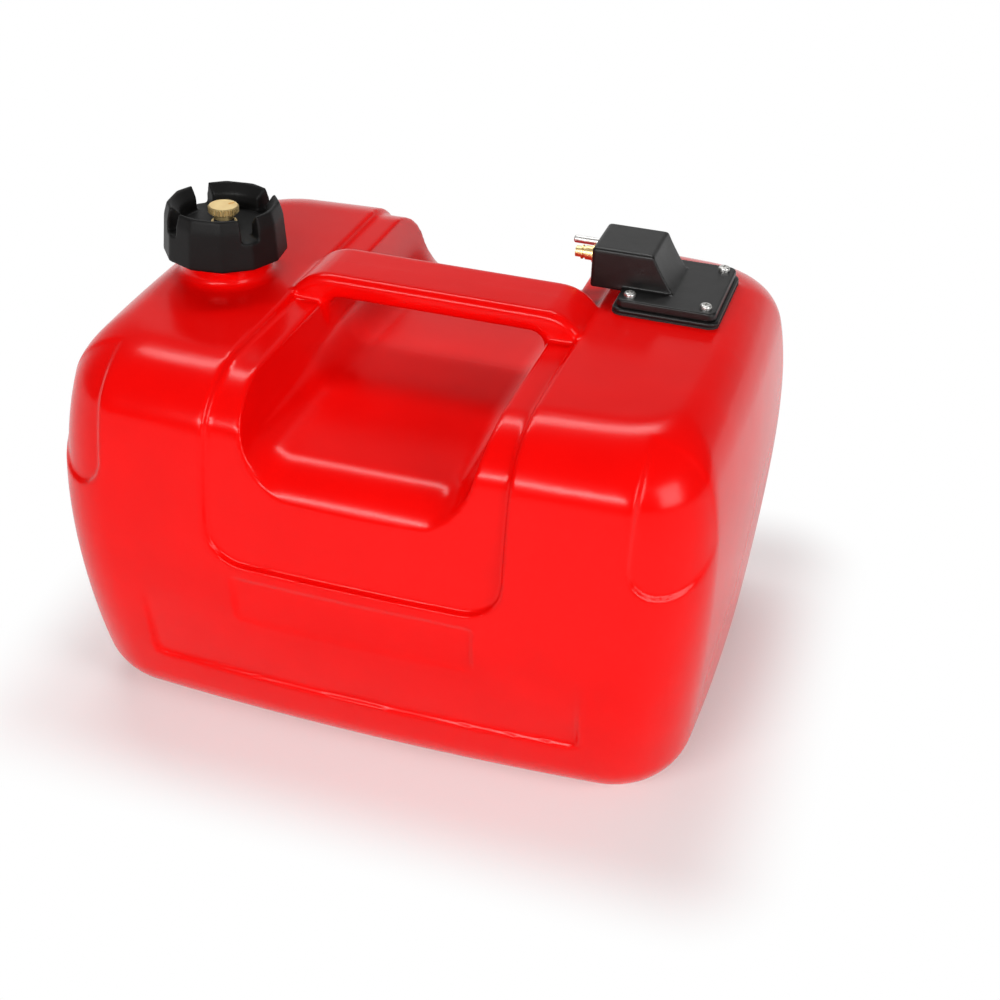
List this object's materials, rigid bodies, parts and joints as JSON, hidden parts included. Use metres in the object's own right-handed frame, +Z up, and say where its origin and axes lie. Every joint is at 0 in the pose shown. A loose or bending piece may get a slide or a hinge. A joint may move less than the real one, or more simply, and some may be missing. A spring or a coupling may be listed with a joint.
{
  "type": "outboard fuel tank",
  "caption": "Portable red blow-moulded outboard fuel tank with a carrying handle, vented screw cap, and a hose outlet with a sprung check valve and a pickup tube.",
  "frame": {"origin": "on the floor under the middle of the tank's length and depth", "axes": "+X along the length towards the fuel outlet, +Y to the back, +Z up"},
  "size_m": [0.3702, 0.2996, 0.27],
  "materials": {
    "red_plastic": "blow-moulded, low gloss",
    "black_plastic": "satin moulded",
    "black_rubber": "matte",
    "brass": "turned",
    "steel": "plated",
    "clear_plastic": "natural polyethylene"
  },
  "bodies": {
    "tank": {"tank_body": "red_plastic", "outlet_gasket": "black_rubber", "outlet_flange": "black_plastic", "outlet_housing": "black_plastic", "outlet_screws": "steel", "screw_inserts": "brass", "fuel_nipple": "brass", "nipple_o_ring": "black_rubber", "valve_retainer": "brass", "valve_spring": "steel", "guide_pin": "steel", "pickup_tube": "clear_plastic", "tube_o_ring": "black_rubber", "pickup_strainer": "clear_plastic", "strainer_mesh": "steel"},
    "gasket": {"cap_gasket": "black_rubber"},
    "cap": {"filler_cap": "black_plastic", "vent_bush": "brass"},
    "vent_lifter": {"vent_seal": "black_rubber"},
    "vent": {"vent_screw": "brass", "vent_clip": "steel"},
    "poppet": {"valve_poppet": "brass"}
  },
  "joints": [
    {"name": "cap_lift", "type": "slide", "parent": "tank", "child": "gasket", "axis": [0, 0, 1], "range_m": [0, 0.00901]},
    {"name": "cap_turn", "type": "hinge", "parent": "gasket", "child": "cap", "pos_m": [-0.128, -0.011, 0.2555], "axis": [0, 0, 1], "range_deg": [0, 540]},
    {"name": "vent_lift", "type": "slide", "parent": "cap", "child": "vent_lifter", "axis": [0, 0, 1], "range_m": [0, 0.00301]},
    {"name": "vent_turn", "type": "hinge", "parent": "vent_lifter", "child": "vent", "pos_m": [-0.128, -0.011, 0.262], "axis": [0, 0, 1], "range_deg": [0, 720]},
    {"name": "valve_open", "type": "slide", "parent": "tank", "child": "poppet", "axis": [1, 0, 0], "range_m": [0, 0.0025], "stiffness_N_per_m": 300, "springref_m": -0.006, "deforming": ["valve_spring"]}
  ],
  "couplings": [
    {"joint": "cap_lift", "follows": "cap_turn", "m_per_rad": 0.00095493},
    {"joint": "vent_lift", "follows": "vent_turn", "m_per_rad": 0.00023873}
  ]
}
